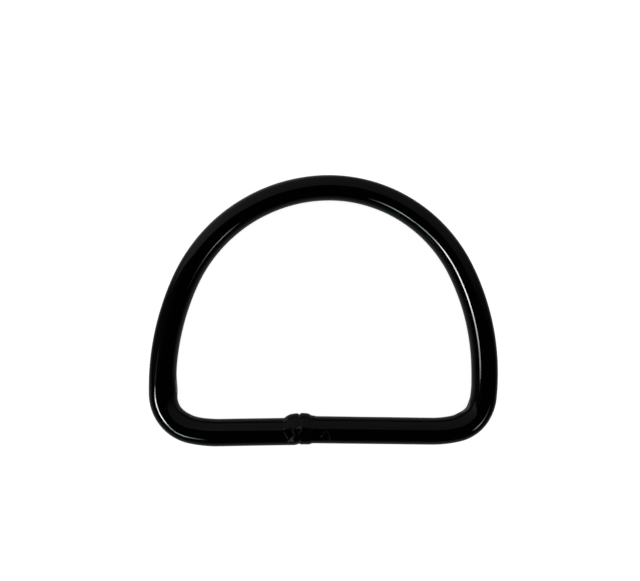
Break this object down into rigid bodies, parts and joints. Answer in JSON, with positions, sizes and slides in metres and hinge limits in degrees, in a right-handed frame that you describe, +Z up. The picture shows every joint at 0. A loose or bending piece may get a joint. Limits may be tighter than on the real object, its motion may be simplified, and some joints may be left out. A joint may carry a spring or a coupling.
{
  "type": "welded d ring",
  "caption": "Closed D-shaped ring of round wire with a butt weld in its straight bar, gloss black; it joins a webbing strap to a hook or clip.",
  "frame": {"origin": "middle of the ring's box in plan, on the surface that the ring lies on", "axes": "+X along the bar, +Y from the bar to the crown of the bow, +Z up from the surface"},
  "size_m": [0.0606, 0.048, 0.0052],
  "materials": {
    "black_coating": "gloss black coating over round steel wire"
  },
  "bodies": {
    "root": {"d_ring": "black_coating"}
  },
  "joints": []
}
